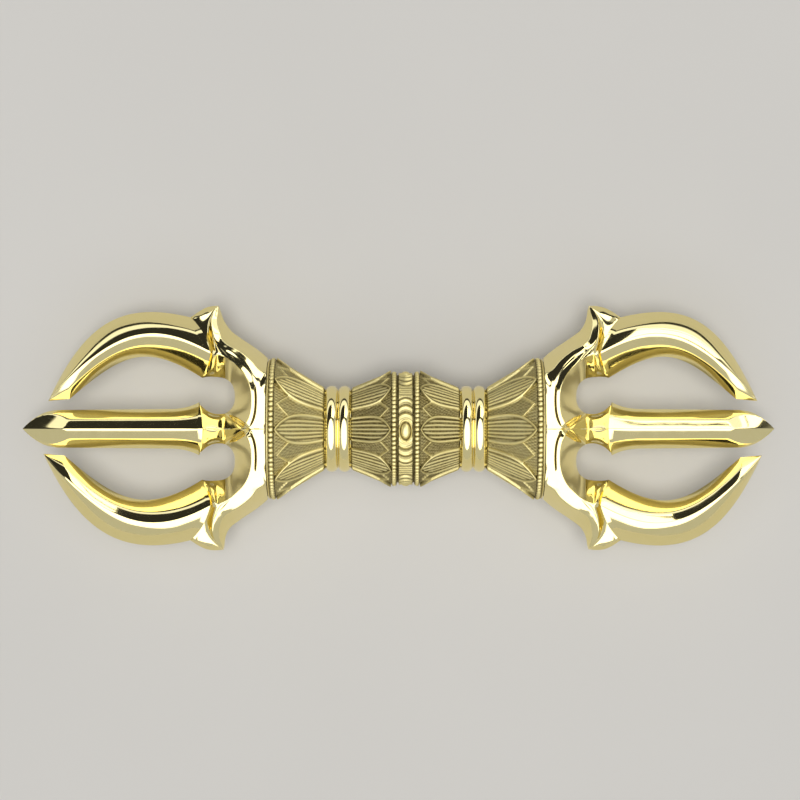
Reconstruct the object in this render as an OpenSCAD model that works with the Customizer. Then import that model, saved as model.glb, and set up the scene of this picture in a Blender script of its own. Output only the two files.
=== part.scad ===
// Three-pronged vajra in polished brass, lying along X with its prongs in the XY plane.
// The origin is the middle of the centre band. Every turned piece is threaded on one tie rod.

/* [Handle] */
// Radius of the tie rod that holds the handle together
rod_r = 3; // [2:0.1:3.6]
// Radial gap between a pin, rod or tang and its hole
fit_gap = 0.05; // [0.03:0.01:0.1]
// Width of the centre band
band_w = 4.1; // [3.4:0.1:6]
// Radius of the centre band
band_r = 13.3; // [12:0.1:15]
// Radius of each eye boss on the centre band
boss_r = 1.5; // [0.6:0.1:1.7]
// Height of an eye boss above the band
boss_rise = 0.6; // [0.2:0.1:1]
// Width of an inner beaded rim
inner_rim_w = 1.4; // [1.2:0.1:3]
// Radius of an inner beaded rim
inner_rim_r = 13.8; // [12.5:0.1:16]
// Length of an inner lotus collar
inner_lotus_len = 9.5; // [7:0.1:14]
// Radius of an inner lotus collar at its wide end
inner_lotus_r = 13.5; // [11:0.1:15]
// Radius of every lotus collar at its narrow end
lotus_neck_r = 9.6; // [8.6:0.1:10.8]
// Width of the plain flat at both ends of a waist ring
waist_flat = 0.6; // [0.3:0.1:1.6]
// Radius of a waist ring over its rolls
waist_r = 10.4; // [9.4:0.1:12]
// Radius of the two round rolls on a waist ring
roll_r = 1.1; // [0.8:0.1:1.5]
// Radius of the bead between the two rolls
bead_r = 0.45; // [0.3:0.05:0.6]
// Length of an outer lotus collar
outer_lotus_len = 11.6; // [10:0.1:16]
// Radius of an outer lotus collar at its wide end
outer_lotus_r = 16.6; // [14:0.1:18]
// Width of an outer beaded rim
outer_rim_w = 2.1; // [1.4:0.1:3.4]
// Radius of an outer beaded rim
outer_rim_r = 17.1; // [15.5:0.1:19]
// Number of beads round an outer rim
bead_count = 84; // [60:2:84]
// Width of the row of beads on an outer rim
bead_row_w = 1.3; // [0.9:0.1:1.4]
// Width of the turned chamfer on an inner rim, and of the crown's set-back on an outer one
rim_chamfer = 0.5; // [0.2:0.05:0.6]
// How far a lotus collar bows out between its two ends, as a part of its flare
lotus_bow = 0; // [-0.3:0.05:0.5]

/* [Crown] */
// Radius of the spigot that seats a crown in its rim and lotus collar
spigot_r = 6.2; // [5:0.1:6.6]
// Length of the spigot behind the crown
spigot_len = 9; // [7:0.1:10]
// How far the tie rod runs into the crown past its rim face
rod_reach = 2; // [1:0.1:4]
// Radius of the lock pin through collar, spigot and rod
pin_r = 1; // [0.6:0.1:1.4]
// Distance of the lock pin behind the crown's rim face
pin_back = 5.5; // [4.5:0.1:6.5]
// How far each end of the lock pin lies below the collar's surface
pin_sink = 0.6; // [0.3:0.1:1]
// Radius of the round hole beside the neck
hole_r = 4.1; // [3.4:0.1:4.6]
// Distance of the holes from the rim face
hole_u = 12.3; // [11.6:0.1:13.2]
// Distance of the holes from the long axis
hole_v = 8.4; // [8:0.1:9.4]
// Plan width of the sloping wall between a hole and the crown's ridge
wall_w = 4; // [3:0.1:5]
// Half height of the crown at its ridge near the rim
crown_h = 9.2; // [8.4:0.1:11]
// Distance from the rim face to where the two ridges pinch together
pinch_u = 5.4; // [4.6:0.1:6.6]
// Half height of the neck where it is thinnest
neck_h = 4.7; // [4:0.1:5.4]
// Distance of the barb tips from the rim face
barb_u = 11.1; // [10.1:0.1:12.1]
// Distance of the barb tips from the long axis
barb_v = 29.6; // [28.2:0.1:32]

/* [Centre blades] */
// Distance from the rim face to the corners of a centre blade's base
seat_u = 16.6; // [16:0.1:18.6]
// Length of the left centre blade from base corners to tip
left_centre_len = 42.6; // [32:0.1:60]
// Length of the right centre blade from base corners to tip
right_centre_len = 39.2; // [32:0.1:60]
// Half width of a centre blade across its flared base
centre_base_w = 6.4; // [5.9:0.1:7.4]
// Half width of a centre blade along its length
centre_w = 4.7; // [4:0.1:5.6]
// Half thickness of a centre blade at its ridge
centre_h = 4.5; // [4.4:0.1:5.8]
// Length of the ground point of a centre blade
centre_tip_len = 9; // [6:0.1:14]
// How steeply the base notch of a centre blade runs back from its middle
centre_rake = 0.23; // [0.1:0.01:0.35]

/* [Side blades] */
// Distance from the rim face to the inner corner of a side blade's base
side_seat_u = 15.9; // [15.4:0.1:17.1]
// Distance from the long axis to the inner corner of a side blade's base
side_seat_v = 12.3; // [12.1:0.1:13]
// Length of a side blade's base edge
side_base_len = 14.8; // [13.5:0.1:15.5]
// Turn of a side blade's base edge away from square, in degrees
side_seat_turn = 10.5; // [8:0.5:13]
// Distance along the base edge from the inner corner to the ridge
side_ridge_at = 5.2; // [4.6:0.1:6]
// Half thickness of a side blade at its base
side_base_h = 6.2; // [5.9:0.1:7]
// Half thickness of a side blade along its length
side_h = 4.8; // [4.2:0.1:5.8]
// How steeply the base notch of a side blade runs back from its middle
side_rake = 0.5; // [0.4:0.01:0.52]
// Distance from the rim face to the tips of the side blades
side_tip_u = 52.3; // [46.6:0.1:58.6]
// Distance from the long axis to the tips of the side blades
side_tip_v = 6.5; // [5.6:0.1:10]
// Length of the flat ground on the inside of a side blade's tip
side_tip_flat = 5.2; // [3:0.1:8]
// Radius of the round tang behind every blade
tang_r = 2; // [1.4:0.1:2.4]
// Length of the tang behind a blade's base
tang_len = 6.5; // [4:0.1:7]

/* [Hidden] */
$fn = 64;

polished = "#d9c46a";
antique = "#b79a52";
LEFT = -1;
RIGHT = 1;

bore_r = rod_r + fit_gap;
end_gap = 0.1;
boss_count = 4;
boss_root = 2;
land = 0.06;
tip_land = 0.12;
ridge_land = 0.25;
overhang = 0.5;
cut_past = 1;
strip_drop = 0.25;
spigot_root = 1;
tang_root = 2;
tang_shift = 0.4;
lotus_steps = 8;
blade_rows = 16;
crown_rows = 34;
wall_steps = 4;
step_bias = 0.8;

// Places along the handle, measured from the middle of the band to one side
function centre_len(side) = side == LEFT ? left_centre_len : right_centre_len;
rim_x = band_w / 2;
lotus_x = rim_x + inner_rim_w;
waist_w = 2 * waist_flat + 4 * roll_r + 2 * bead_r;
waist_x = lotus_x + inner_lotus_len;
outer_lotus_x = waist_x + waist_w;
outer_rim_x = outer_lotus_x + outer_lotus_len;
face_x = outer_rim_x + outer_rim_w;

// Curves
function mix(a, b, f) = a + (b - a) * f;
function heading(a) = [cos(a), sin(a)];
function bezier(a, b, c, d, t) =
  a * pow(1 - t, 3) + 3 * b * t * pow(1 - t, 2) + 3 * c * t * t * (1 - t) + d * pow(t, 3);
function hermite(a, b, c, d, t) =
  b + 0.5 * t * (c - a + t * (2 * a - 5 * b + 4 * c - d + t * (3 * (b - c) + d - a)));
function spline(points, s) =
  let (
    last = len(points) - 1,
    k = min(floor(s * last), last - 1)
  )
  hermite(
    points[max(k - 1, 0)], points[k], points[k + 1], points[min(k + 2, last)], s * last - k
  );

// One section of a ridged bar: inner edge, ridge and outer edge, the same above and below.
// The faces between them swell by a power of the distance left to the edge.
function face_line(ridge, edge, power, steps) = [
  for (k = [1:steps])
    let (f = pow(k / steps, step_bias))
    [
      mix(ridge.x, edge.x, f),
      mix(ridge.y, edge.y, f),
      edge.z + (ridge.z - edge.z) * pow(1 - f, power)
    ]
];
function reversed(list) = [for (k = [len(list) - 1:-1:0]) list[k]];
function flipped(list) = [for (p = list) [p.x, p.y, -p.z]];
function section(inner, ridge, outer, inner_power, outer_power) =
  let (
    start = [inner.x, inner.y, 0],
    up = concat(reversed(face_line(ridge, start, inner_power, wall_steps)), [ridge]),
    down = face_line(ridge, outer, outer_power, wall_steps),
    top = concat(up, down)
  )
  concat(top, [[outer.x, outer.y, 0]], reversed(flipped([for (k = [1:len(top) - 1]) top[k]])));

// A seat is a straight base line whose two faces run back above and below it
function seat_point(p, corner, turn, rake) =
  let (
    along = heading(90 - turn),
    ahead = heading(-turn),
    q = ([p.x, p.y] - corner) * along,
    flat = corner + along * q - ahead * rake * abs(p.z)
  )
  [flat.x, flat.y, p.z];

// A skin over a row of sections, closed at both ends by an upper and a lower face
function skin_faces(rows, size, first) =
  let (half = size / 2)
  concat(
    [
      for (i = [0:rows - 2], j = [0:size - 1])
        let (
          a = first + i * size + j,
          b = first + i * size + (j + 1) % size
        )
        each [[a, b, b + size], [a, b + size, a + size]]
    ],
    [[for (j = [half:-1:0]) first + j]],
    [concat([first], [for (j = [size - 1:-1:half]) first + j])],
    [[for (j = [0:half]) first + (rows - 1) * size + j]],
    [[for (j = [half:size]) first + (rows - 1) * size + j % size]]
  );
function joined(lists) = [for (list = lists) each list];

module turned(profile) {
  rotate([0, 90, 0])
    rotate_extrude()
      polygon(profile);
}

module along_x(r, from, to) {
  translate([from, 0, 0])
    rotate([0, 90, 0])
      cylinder(r = r, h = to - from);
}

// Hole across the long axis for a lock pin
module cross_drill(x) {
  translate([x, 0, 0])
    rotate([90, 0, 0])
      cylinder(r = pin_r + fit_gap, h = 4 * outer_rim_r, center = true);
}

// Draws a piece of the right half, or its mirror image on the left
module on_side(side) {
  mirror([side == LEFT ? 1 : 0, 0, 0])
    children();
}

// Handle

module core_rod() {
  rod_end_x = face_x + rod_reach - end_gap;
  color(polished)
    difference() {
      along_x(rod_r, -rod_end_x, rod_end_x);
      for (side = [LEFT, RIGHT])
        on_side(side)
          cross_drill(face_x - pin_back);
    }
}

module centre_band() {
  color(antique)
    difference() {
      union() {
        along_x(band_r, -band_w / 2, band_w / 2);
        for (k = [0:boss_count - 1])
          rotate([k * 360 / boss_count, 0, 0])
            translate([0, 0, band_r - boss_root])
              cylinder(r = boss_r, h = boss_root + boss_rise);
      }
      along_x(bore_r, -band_w, band_w);
    }
}

// Profile of an inner rim, with its chamfered edge
function rim_profile(hole, r, w) = [
  [hole, 0], [r - rim_chamfer, 0], [r, rim_chamfer],
  [r, w - rim_chamfer], [r - rim_chamfer, w], [hole, w]
];

module inner_bead_rim(side) {
  color(antique)
    on_side(side)
      translate([rim_x, 0, 0])
        turned(rim_profile(bore_r, inner_rim_r, inner_rim_w));
}

// The row of beads is the solid that spans the bead tops, so it rests on the flat between two of them
module outer_bead_rim(side) {
  bead_tops = [for (k = [0:bead_count - 1]) outer_rim_r * heading((k + 0.5) * 360 / bead_count)];
  color(antique)
    on_side(side)
      translate([outer_rim_x, 0, 0])
        difference() {
          union() {
            rotate([0, 90, 0])
              linear_extrude(bead_row_w)
                polygon(bead_tops);
            along_x(outer_rim_r - strip_drop, 0, outer_rim_w);
          }
          along_x(spigot_r + fit_gap, -cut_past, outer_rim_w + cut_past);
        }
}

// Radius of a lotus collar a part f of the way from its narrow end to its wide end
function lotus_radius(wide_r, f) = mix(lotus_neck_r, wide_r, f + lotus_bow * f * (1 - f));

module inner_lotus(side) {
  length = inner_lotus_len;
  color(antique)
    on_side(side)
      translate([lotus_x, 0, 0])
        turned(concat(
          [[bore_r, length], [bore_r, 0]],
          [for (k = [0:lotus_steps])
            let (f = k / lotus_steps)
            [lotus_radius(inner_lotus_r, 1 - f), length * f]]
        ));
}

// A round roll turned about the long axis, with the given outside radius
module roll(x, outside, r) {
  translate([x, 0, 0])
    rotate([0, 90, 0])
      rotate_extrude()
        translate([outside - r, 0])
          circle(r = r);
}

module waist_ring(side) {
  core_r = waist_r - roll_r / 2;
  color(polished)
    on_side(side)
      translate([waist_x, 0, 0])
        difference() {
          union() {
            along_x(core_r, 0, waist_w);
            for (k = [-1, 1])
              roll(waist_w / 2 + k * (roll_r + bead_r), waist_r, roll_r);
            roll(waist_w / 2, core_r + bead_r, bead_r);
          }
          along_x(bore_r, -cut_past, waist_w + cut_past);
        }
}

module outer_lotus(side) {
  length = outer_lotus_len;
  seat_depth = spigot_len - outer_rim_w + end_gap;
  color(antique)
    on_side(side)
      translate([outer_lotus_x, 0, 0])
        difference() {
          turned(concat(
            [[spigot_r + fit_gap, length], [spigot_r + fit_gap, length - seat_depth],
             [bore_r, length - seat_depth], [bore_r, 0]],
            [for (k = [0:lotus_steps])
              let (f = k / lotus_steps)
              [lotus_radius(outer_lotus_r, f), length * f]]
          ));
          cross_drill(length + outer_rim_w - pin_back);
        }
}

module lock_pin(side) {
  pin_f = (outer_lotus_len + outer_rim_w - pin_back) / outer_lotus_len;
  reach = lotus_radius(outer_lotus_r, pin_f) - pin_sink;
  color(polished)
    on_side(side)
      translate([face_x - pin_back, 0, 0])
        rotate([90, 0, 0])
          cylinder(r = pin_r, h = 2 * reach, center = true);
}

// Crown

centre_corner = [seat_u, 0];
side_corner = [side_seat_u, side_seat_v];
side_along = heading(90 - side_seat_turn);
side_ahead = heading(-side_seat_turn);
function hole_point(angle, out) = [hole_u, hole_v] + (hole_r + out) * heading(angle);
function on_ridge(angle, wide, z) =
  let (p = hole_point(angle, wall_w * wide))
  [p.x, p.y, z];
function base_point(q, back) = side_corner + side_along * q - side_ahead * back;
function on_base(q, back, z) =
  let (p = base_point(q, back))
  [p.x, p.y, z];
function on_axis(u, z) = [u, 0, z];
function on_rim(v, z) = [0, v, z];

seat_ridge_h = side_base_h - overhang;
root_v = outer_rim_r - rim_chamfer;
neck_front_v = centre_base_w - 2 * overhang;
neck_end_u = seat_u - centre_rake * neck_h;
neck_drop = 1;

function ridge_h(f) = mix(seat_ridge_h, crown_h, f);
function neck_top(f) = mix(crown_h - neck_drop, neck_h, f);
function arm_edge(f, g) = [barb_u * f, mix(root_v, barb_v, g), land];
function neck_ridge(f) = [mix(pinch_u, neck_end_u, f), ridge_land, neck_top(min(1, 1.5 * f))];
function neck_crest(f) = on_axis(mix(pinch_u, neck_end_u, f), neck_top(min(1, 1.5 * f)) - land);

// Stations from a side blade's seat, round the hole, to the neck:
// inner edge, ridge, outer edge, and the swell of the face between ridge and outer edge
crown_stations = [
  [base_point(overhang, 0), on_base(side_ridge_at, side_rake * seat_ridge_h, seat_ridge_h),
   on_base(side_base_len - overhang, 0, land), 1.25],
  [base_point(overhang, 1.3), on_ridge(82, 1.33, ridge_h(0.07)), arm_edge(1.47, 0.9), 1.35],
  [hole_point(75, 0), on_ridge(86, 1.26, ridge_h(0.14)), arm_edge(1.25, 0.99), 1.3],
  // the barb's tip
  [hole_point(90, 0), on_ridge(91, 1.2, ridge_h(0.2)), arm_edge(1, 1), 1.05],
  [hole_point(102, 0), on_ridge(96, 1.15, ridge_h(0.27)), arm_edge(0.95, 0.82), 0.95],
  [hole_point(116, 0), on_ridge(106, 1.05, ridge_h(0.38)), arm_edge(0.82, 0.55), 0.85],
  [hole_point(132, 0), on_ridge(121, 0.98, ridge_h(0.55)), arm_edge(0.55, 0.39), 0.8],
  [hole_point(150, 0), on_ridge(142, 0.97, ridge_h(0.75)), arm_edge(0.24, 0.2), 0.8],
  // along the rim
  [hole_point(165, 0), on_ridge(161, 1.03, ridge_h(0.9)), on_rim(root_v, land), 0.8],
  [hole_point(180, 0), on_ridge(176, 1.12, crown_h), on_rim(root_v * 0.75, crown_h * 0.83), 0.8],
  [hole_point(198, 0), on_ridge(192, 1.25, crown_h), on_rim(root_v * 0.45, crown_h * 0.98), 0.8],
  [hole_point(216, 0), on_ridge(207, 1.4, crown_h - 0.2), on_rim(0, crown_h * 0.84), 0.8],
  // along the crease to the pinch, then out along the neck
  [hole_point(234, 0), [pinch_u - 1, 1.6, crown_h - 0.6], on_axis(pinch_u * 0.45, crown_h * 0.85), 0.8],
  [hole_point(250, 0), neck_ridge(0), neck_crest(0), 0.8],
  [hole_point(264, 0), neck_ridge(0.28), neck_crest(0.28), 0.8],
  [hole_point(282, 0), neck_ridge(0.6), neck_crest(0.6), 0.8],
  [[mix(hole_u, seat_u, 0.66), mix(hole_v - hole_r, neck_front_v, 0.5)],
   neck_ridge(0.83), neck_crest(0.83), 0.8],
  [[seat_u, neck_front_v], neck_ridge(1), neck_crest(1), 0.8]
];
function along_crown(column, s) = spline([for (station = crown_stations) station[column]], s);
wall_swell = 0.8;

function not_behind(p) = [max(p.x, 0), max(p.y, 0), max(p.z, land)];
function crown_section(s) =
  section(
    along_crown(0, s), along_crown(1, s), not_behind(along_crown(2, s)), wall_swell, along_crown(3, s)
  );
function seated(points, corner, turn, rake) = [for (p = points) seat_point(p, corner, turn, rake)];
function half_crown() = [
  for (i = [0:crown_rows])
    let (points = crown_section(i / crown_rows))
    i == 0 ? seated(points, side_corner, side_seat_turn, side_rake) :
    i == crown_rows ? seated(points, centre_corner, 0, centre_rake) :
    points
];

module crown_body() {
  half = joined(half_crown());
  size = len(half) / (crown_rows + 1);
  other = [for (p = half) [p.x, -p.y, p.z]];
  points = concat(half, other);
  skin = skin_faces(crown_rows + 1, size, 0);
  upper = [for (face = skin) reversed(face)];
  lower = [for (face = skin) [for (k = face) half[k].y > 0 ? k + len(half) : k]];
  polyhedron(
    points,
    [for (face = concat(upper, lower)) if (max([for (k = face) abs(points[k].y)]) > 0) face],
    convexity = 8
  );
}

// A round tang, or its socket, behind the base of a blade
side_tang_at = side_ridge_at + tang_shift;
module centre_tang(r, reach, front) {
  along_x(r, seat_u - reach, seat_u + front);
}
module side_tang(r, reach, front) {
  start = side_corner + side_along * side_tang_at;
  translate([start.x, start.y, 0])
    rotate([0, 0, -side_seat_turn])
      along_x(r, -reach, front);
}

module crown(side) {
  color(polished)
    on_side(side)
      translate([face_x, 0, 0])
        difference() {
          union() {
            crown_body();
            along_x(spigot_r, -spigot_len, spigot_root);
          }
          along_x(bore_r, -spigot_len - cut_past, rod_reach);
          cross_drill(-pin_back);
          centre_tang(tang_r + fit_gap, tang_len + end_gap, cut_past);
          for (k = [0, 1])
            mirror([0, k, 0])
              side_tang(tang_r + fit_gap, tang_len + end_gap, cut_past);
        }
}

// Blades

blade_swell = 0.66;
flare_len = 8;
base_rise = 1;

// Half width and ridge height of a centre blade at a distance a from its base corners
function centre_rows(length) = [
  [0, centre_base_w, centre_h + base_rise],
  [flare_len * 0.18, mix(centre_w, centre_base_w, 0.6), centre_h + base_rise * 0.5],
  [flare_len * 0.45, mix(centre_w, centre_base_w, 0.25), centre_h + base_rise * 0.2],
  [flare_len, centre_w, centre_h],
  [mix(flare_len, length - centre_tip_len, 0.5), centre_w * 0.97, centre_h * 0.97],
  [length - centre_tip_len, centre_w * 0.9, centre_h * 0.9],
  [length - centre_tip_len * 0.75, centre_w * 0.83, centre_h * 0.8],
  [length - centre_tip_len * 0.45, centre_w * 0.56, centre_h * 0.55],
  [length, tip_land, tip_land]
];

module centre_blade(side) {
  stations = centre_rows(centre_len(side));
  rows = [
    for (i = [0:len(stations) - 1])
      let (
        at = stations[i],
        u = seat_u + at[0],
        points = section([u, -at[1]], [u, 0, at[2]], [u, at[1], land], blade_swell, blade_swell)
      )
      i == 0 ? seated(points, centre_corner, 0, centre_rake) : points
  ];
  color(polished)
    on_side(side)
      translate([face_x, 0, 0])
        union() {
          polyhedron(joined(rows), skin_faces(len(rows), len(rows[0]), 0), convexity = 4);
          centre_tang(tang_r, tang_len, tang_root);
        }
}

// Side blade: the curves of its ridge, outer edge and inner edge in plan
side_tip = [side_tip_u, side_tip_v];
side_outer_start = side_corner + side_along * side_base_len;
side_ridge_start = side_corner + side_along * side_ridge_at - side_ahead * side_rake * side_base_h;
// The ground flat inside the tip leans a little away from the long axis
tip_flat_rise = 0.5;
side_flat_start = side_tip + [-side_tip_flat, tip_flat_rise];
// Each curve leaves the base and meets the tip at an angle, drawn out by a length
outer_leave = 14;
outer_leave_pull = 18;
outer_meet = 115;
outer_meet_pull = 20;
ridge_leave = 29;
ridge_leave_pull = 17;
ridge_meet = 134;
ridge_meet_pull = 23;
inner_leave = 32;
inner_leave_pull = 16;
inner_meet = 139;
inner_meet_pull = 17;
// Part of the blade's length at which the ground flat of the tip begins
flat_from = 0.88;
function side_outer(t) =
  bezier(
    side_outer_start, side_outer_start + outer_leave_pull * heading(outer_leave),
    side_tip + outer_meet_pull * heading(outer_meet), side_tip, t
  );
function side_ridge(t) =
  bezier(
    side_ridge_start, side_ridge_start + ridge_leave_pull * heading(ridge_leave),
    side_tip + ridge_meet_pull * heading(ridge_meet), side_tip, t
  );
function side_inner(t) =
  t > flat_from ? mix(side_flat_start, side_tip, (t - flat_from) / (1 - flat_from)) :
  bezier(
    side_corner, side_corner + inner_leave_pull * heading(inner_leave),
    side_flat_start + inner_meet_pull * heading(inner_meet), side_flat_start, t / flat_from
  );
side_heights = [
  side_base_h, mix(side_h, side_base_h, 0.4), side_h, side_h, side_h, side_h * 0.97, side_h * 0.92,
  side_h * 0.8, side_h * 0.5, tip_land
];

module side_blade(side, up) {
  rows = [
    for (i = [0:blade_rows])
      let (
        t = i / blade_rows,
        close = i == blade_rows ? tip_land : 0,
        ridge = side_ridge(t),
        outer = side_outer(t) + [0, close],
        points = section(
          side_inner(t) - [close, 0], [ridge.x, ridge.y, spline(side_heights, t)],
          [outer.x, outer.y, land], blade_swell, blade_swell
        )
      )
      i == 0 ? seated(points, side_corner, side_seat_turn, side_rake) : points
  ];
  color(polished)
    on_side(side)
      translate([face_x, 0, 0])
        mirror([0, up ? 0 : 1, 0])
          union() {
            polyhedron(joined(rows), skin_faces(len(rows), len(rows[0]), 0), convexity = 6);
            side_tang(tang_r, tang_len, tang_root);
          }
}

core_rod();
centre_band();
inner_bead_rim(LEFT);  // left_inner_bead_rim
inner_lotus(LEFT);  // left_inner_lotus
waist_ring(LEFT);  // left_waist_ring
outer_lotus(LEFT);  // left_outer_lotus
outer_bead_rim(LEFT);  // left_outer_bead_rim
crown(LEFT);  // left_crown
lock_pin(LEFT);  // left_lock_pin
centre_blade(LEFT);  // left_centre_blade
side_blade(LEFT, true);  // left_upper_blade
side_blade(LEFT, false);  // left_lower_blade
inner_bead_rim(RIGHT);  // right_inner_bead_rim
inner_lotus(RIGHT);  // right_inner_lotus
waist_ring(RIGHT);  // right_waist_ring
outer_lotus(RIGHT);  // right_outer_lotus
outer_bead_rim(RIGHT);  // right_outer_bead_rim
crown(RIGHT);  // right_crown
lock_pin(RIGHT);  // right_lock_pin
centre_blade(RIGHT);  // right_centre_blade
side_blade(RIGHT, true);  // right_upper_blade
side_blade(RIGHT, false);  // right_lower_blade
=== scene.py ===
import math

import bmesh
import bpy
from mathutils import Matrix, Vector


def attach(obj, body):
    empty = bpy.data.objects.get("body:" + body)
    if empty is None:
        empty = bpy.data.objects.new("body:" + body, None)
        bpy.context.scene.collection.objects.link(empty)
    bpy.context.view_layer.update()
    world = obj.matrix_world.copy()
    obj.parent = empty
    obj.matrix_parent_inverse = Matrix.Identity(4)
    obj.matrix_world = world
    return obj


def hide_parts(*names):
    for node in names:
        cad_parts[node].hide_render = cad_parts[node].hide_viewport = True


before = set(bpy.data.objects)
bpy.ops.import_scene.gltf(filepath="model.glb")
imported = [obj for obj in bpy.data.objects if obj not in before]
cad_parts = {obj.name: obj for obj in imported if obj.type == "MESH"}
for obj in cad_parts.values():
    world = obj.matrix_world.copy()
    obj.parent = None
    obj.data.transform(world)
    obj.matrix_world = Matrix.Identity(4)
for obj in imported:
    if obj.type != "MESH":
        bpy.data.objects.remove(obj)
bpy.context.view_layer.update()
scene = bpy.context.scene
mm = 0.001
print("frame loaded,", len(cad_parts), "nodes")


# Small helpers. All shapes below are in millimetres and become metres in finishPiece.
def mix(a, b, f):
    return a + (b - a) * f


def ease(a, b, x):
    f = min(1, max(0, (x - a) / (b - a)))
    return f * f * (3 - 2 * f)


def chased(x, at, width, height):
    # a chased line: where its middle lies, how wide it is and how high
    return height * math.exp(-((x - at) / width) ** 2)


def heading(degrees):
    return Vector((math.cos(math.radians(degrees)), math.sin(math.radians(degrees))))


def bezier(a, b, c, d, t):
    return a * (1 - t) ** 3 + b * 3 * t * (1 - t) ** 2 + c * 3 * t * t * (1 - t) + d * t ** 3


def spline(points, s, corners=()):
    # smooth line through the points, broken at the corners; s counts points
    k = min(int(s), len(points) - 2)
    b, c = points[k], points[k + 1]
    a = b * 2 - c if k == 0 or k in corners else points[k - 1]
    d = c * 2 - b if k + 2 == len(points) or k + 1 in corners else points[k + 2]
    t = s - k
    return b + (c - a + (a * 2 - b * 5 + c * 4 - d + ((b - c) * 3 + d - a) * t) * t) * (0.5 * t)


def closeUp(k, count):
    # steps that lie closer together at both ends
    return 0.5 - 0.5 * math.cos(math.pi * k / count)


def sheet(rows, columns, place):
    # a sheet of quads with each corner where place(row, column) puts it
    bm = bmesh.new()
    bmesh.ops.create_grid(bm, x_segments=columns, y_segments=rows, size=1)
    for v in bm.verts:
        v.co = place(round((v.co.y + 1) * rows / 2), round((v.co.x + 1) * columns / 2))
    return bm


def mirrored(bm, axis):
    bmesh.ops.mirror(bm, geom=bm.verts[:] + bm.edges[:] + bm.faces[:], matrix=Matrix(), merge_dist=0.002, axis=axis)


def turned(profile, steps, relief=None):
    # a closed profile of (x, radius) points carried round the long axis;
    # relief(x, angle, radius) gives how far a point is raised and how deep its patina lies
    bm = bmesh.new()
    count = len(profile)
    bmesh.ops.create_grid(bm, x_segments=steps, y_segments=count, size=1)
    recess = bm.verts.layers.float.new("recess")
    for v in bm.verts:
        x, radius = profile[round((v.co.y + 1) * count / 2) % count]
        angle = math.tau / steps * (round((v.co.x + 1) * steps / 2) % steps)
        if relief:
            rise, v[recess] = relief(x, angle, radius)
            radius += rise
        v.co = x, radius * math.sin(angle), radius * math.cos(angle)
    return bm


def finishPiece(bm, name, node, finish, crispAngle=40):
    bmesh.ops.remove_doubles(bm, verts=bm.verts, dist=0.002)
    bmesh.ops.dissolve_degenerate(bm, edges=bm.edges, dist=0.001)
    bmesh.ops.recalc_face_normals(bm, faces=bm.faces)
    bmesh.ops.scale(bm, vec=(mm, mm, mm), verts=bm.verts)
    mesh = bpy.data.meshes.new(name)
    bm.to_mesh(mesh)
    bm.free()
    mesh.shade_smooth()
    mesh.set_sharp_from_angle(angle=math.radians(crispAngle))
    mesh.materials.append(finish)
    piece = bpy.data.objects.new(name, mesh)
    scene.collection.objects.link(piece)
    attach(piece, "root")
    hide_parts(node)


# Materials
def linear(hexColour):
    # sRGB hex to the linear colour that the sockets take
    parts = [int(hexColour[i:i + 2], 16) / 255 for i in (1, 3, 5)]
    return [p / 12.92 if p <= 0.04045 else ((p + 0.055) / 1.055) ** 2.4 for p in parts] + [1]


def addNode(tree, kind, links=None, **settings):
    # links: socket name or number -> a socket of another node, or a plain value
    node = tree.nodes.new(kind)
    for name, value in settings.items():
        setattr(node, name, value)
    for socket, source in (links or {}).items():
        if isinstance(source, bpy.types.NodeSocket):
            tree.links.new(source, node.inputs[socket])
        else:
            node.inputs[socket].default_value = source
    return node


def newMaterial(name):
    material = bpy.data.materials.new(name)
    material.use_nodes = True
    return material, material.node_tree, material.node_tree.nodes["Principled BSDF"]


# sizes in millimetres, roughness from the least to the most worn places
polishedLook = {
    "light": "#f9eaab", "dark": "#f2e39d", "roughness": (0.05, 0.11),
    "wave": 7, "waveDepth": 0.03, "wear": 3, "wearRange": (0.35, 0.75),
}
satinLook = {
    "light": "#f4e8a8", "dark": "#e0cd80", "patina": "#43340f", "roughness": (0.42, 0.62),
    "grain": 0.5, "grainDepth": 0.02, "grainRange": (0.3, 0.7), "patinaLeft": (0.75, 1), "cloud": 4,
}


def finishMetal(tree, shader, tint, dull, bump):
    tree.links.new(tint.outputs[2], shader.inputs["Base Color"])
    tree.links.new(dull.outputs[0], shader.inputs["Roughness"])
    tree.links.new(bump.outputs[0], shader.inputs["Normal"])
    shader.inputs["Metallic"].default_value = 1


def polishedBrass():
    # mirror-polished yellow brass: a little hand-polished waviness, faint cloudy wear
    p = polishedLook
    material, tree, shader = newMaterial("polished_brass")
    place = addNode(tree, "ShaderNodeTexCoord").outputs["Object"]
    wave = addNode(tree, "ShaderNodeTexNoise", {"Vector": place, "Scale": 1 / (p["wave"] * mm), "Detail": 1.0})
    wear = addNode(tree, "ShaderNodeTexNoise", {
        "Vector": place, "Scale": 1 / (p["wear"] * mm), "Detail": 6.0, "Roughness": 0.65})
    tint = addNode(tree, "ShaderNodeMix", {
        "Factor": wear.outputs[0], 6: linear(p["dark"]), 7: linear(p["light"])}, data_type="RGBA")
    dull = addNode(tree, "ShaderNodeMapRange", {
        "Value": wear.outputs[0], 1: p["wearRange"][0], 2: p["wearRange"][1],
        3: p["roughness"][0], 4: p["roughness"][1]})
    bump = addNode(tree, "ShaderNodeBump", {"Height": wave.outputs[0], "Distance": p["waveDepth"] * mm})
    finishMetal(tree, shader, tint, dull, bump)
    return material


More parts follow.
